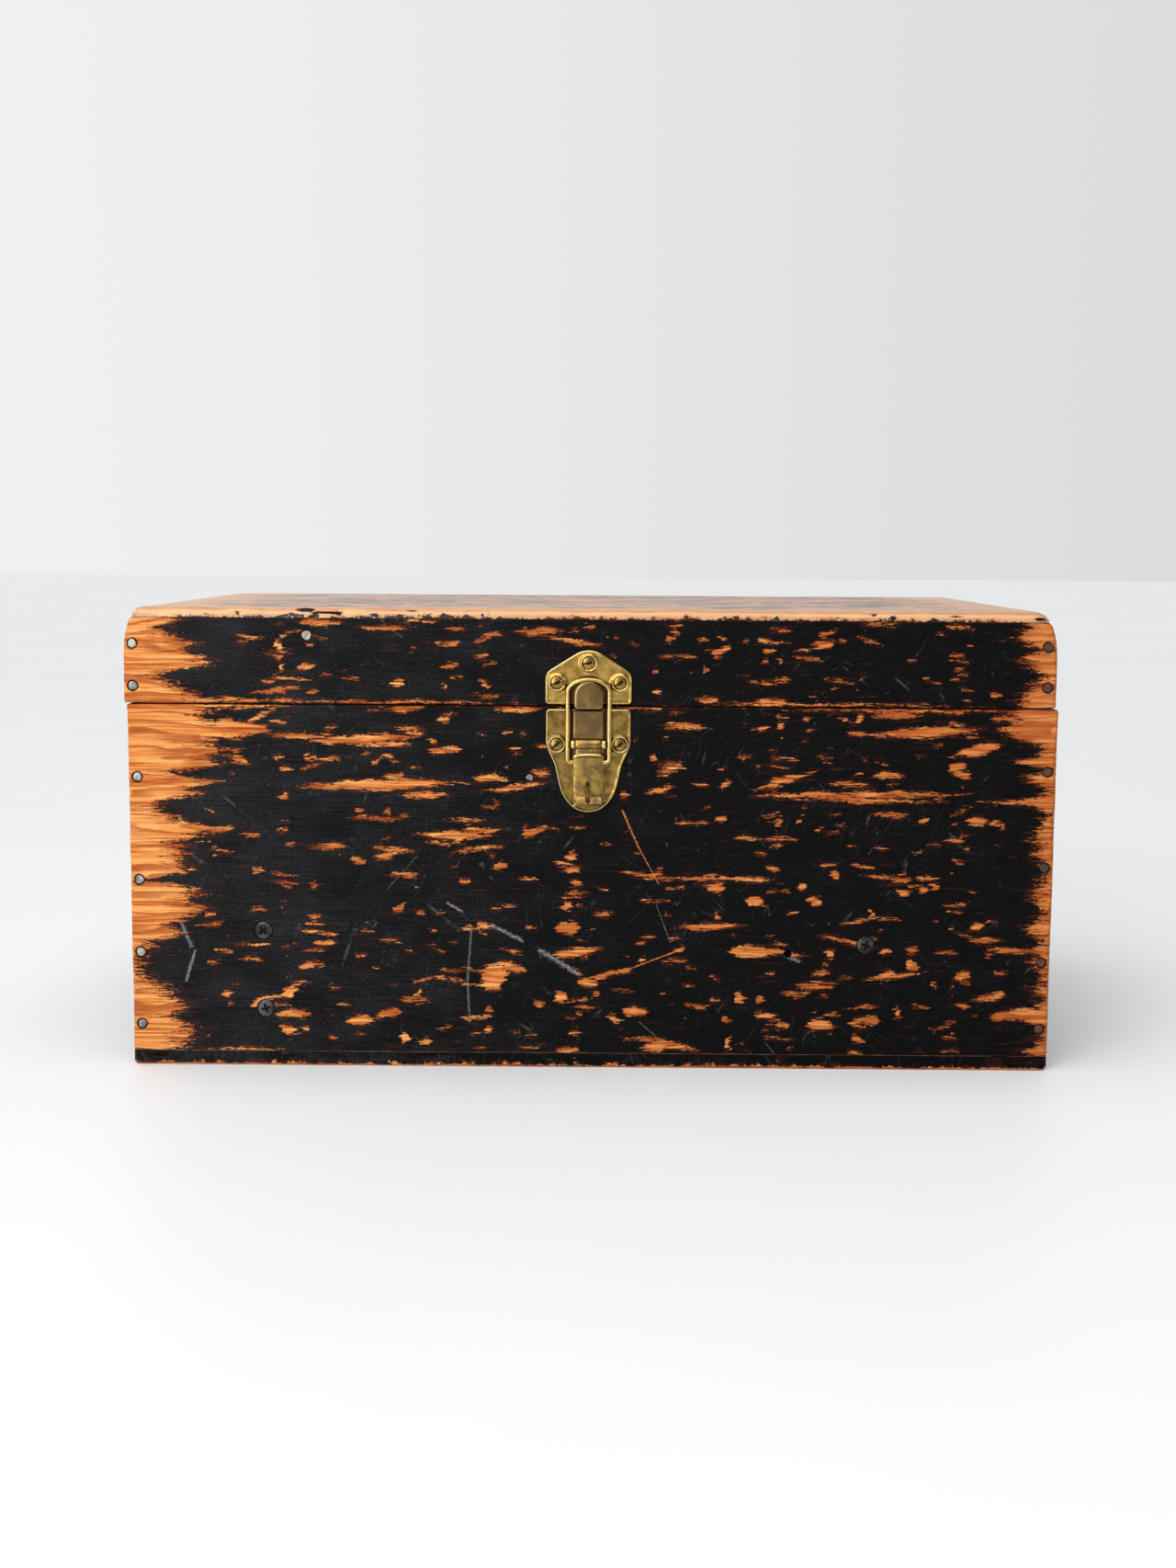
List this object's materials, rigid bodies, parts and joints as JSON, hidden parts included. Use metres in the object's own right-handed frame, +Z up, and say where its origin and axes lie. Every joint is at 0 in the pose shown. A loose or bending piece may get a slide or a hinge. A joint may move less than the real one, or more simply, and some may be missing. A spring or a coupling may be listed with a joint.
{
  "type": "tabernacle box",
  "caption": "Black-painted plywood box with a rear-hinged lid, nailed corners and a brass draw latch with a padlock eye.",
  "frame": {"origin": "centre of the carcass's underside, which the box stands on", "axes": "+X to the right seen from the front, along the box's length; -Y out of the front, where the latch is; +Z up"},
  "size_m": [0.5095, 0.3282, 0.254],
  "materials": {
    "painted_plywood": "worn satin black paint over fir plywood, bare wood along the edges",
    "bare_plywood": "bare fir plywood",
    "aged_brass": "aged, with brown patina and bright rims",
    "dull_steel": "dull, lightly rusted",
    "black_steel": "black oxide, satin"
  },
  "bodies": {
    "base": {"bottom_panel": "painted_plywood", "base_front": "painted_plywood", "base_back": "painted_plywood", "base_left": "painted_plywood", "base_right": "painted_plywood", "left_cleat": "bare_plywood", "right_cleat": "bare_plywood", "base_nail_left_1": "dull_steel", "base_nail_left_2": "dull_steel", "base_nail_left_3": "dull_steel", "base_nail_left_4": "dull_steel", "base_nail_right_1": "dull_steel", "base_nail_right_2": "dull_steel", "base_nail_right_3": "dull_steel", "base_nail_right_4": "dull_steel", "cleat_screw_left_lower": "black_steel", "cleat_screw_left_upper": "black_steel", "cleat_screw_right": "black_steel", "latch_base_plate": "aged_brass", "latch_pivot_pin": "aged_brass", "padlock_staple": "aged_brass", "base_plate_screw_left": "aged_brass", "base_plate_screw_right": "aged_brass", "left_hinge_base_leaf": "dull_steel", "right_hinge_base_leaf": "dull_steel", "left_hinge_pin": "dull_steel", "right_hinge_pin": "dull_steel", "left_hinge_base_screw_1": "dull_steel", "left_hinge_base_screw_2": "dull_steel", "left_hinge_base_screw_3": "dull_steel", "right_hinge_base_screw_1": "dull_steel", "right_hinge_base_screw_2": "dull_steel", "right_hinge_base_screw_3": "dull_steel"},
    "lid": {"lid_front": "painted_plywood", "lid_back": "painted_plywood", "lid_left": "painted_plywood", "lid_right": "painted_plywood", "lid_top": "painted_plywood", "lid_nail_left_1": "dull_steel", "lid_nail_left_2": "dull_steel", "lid_nail_right_1": "dull_steel", "lid_nail_right_2": "dull_steel", "keeper_plate": "aged_brass", "keeper_screw_top": "aged_brass", "keeper_screw_left": "aged_brass", "keeper_screw_right": "aged_brass", "left_hinge_lid_leaf": "dull_steel", "right_hinge_lid_leaf": "dull_steel", "left_hinge_lid_screw_1": "dull_steel", "left_hinge_lid_screw_2": "dull_steel", "left_hinge_lid_screw_3": "dull_steel", "right_hinge_lid_screw_1": "dull_steel", "right_hinge_lid_screw_2": "dull_steel", "right_hinge_lid_screw_3": "dull_steel"},
    "lever": {"latch_lever": "aged_brass"},
    "bail": {"latch_bail": "aged_brass"}
  },
  "joints": [
    {"name": "lid_hinge", "type": "hinge", "parent": "base", "child": "lid", "pos_m": [0, 0.1571, 0.2014], "axis": [-1, 0, 0], "range_deg": [0, 175]},
    {"name": "latch_lever_pivot", "type": "hinge", "parent": "base", "child": "lever", "pos_m": [-0.002, -0.1575, 0.1809], "axis": [-1, 0, 0], "range_deg": [0, 130]},
    {"name": "latch_bail_pivot", "type": "hinge", "parent": "lever", "child": "bail", "pos_m": [-0.002, -0.1568, 0.1711], "axis": [-1, 0, 0], "range_deg": [-163, 0]}
  ],
  "couplings": [
    {"joint": "latch_bail_pivot", "follows": "latch_lever_pivot", "ratio": -1.25}
  ]
}
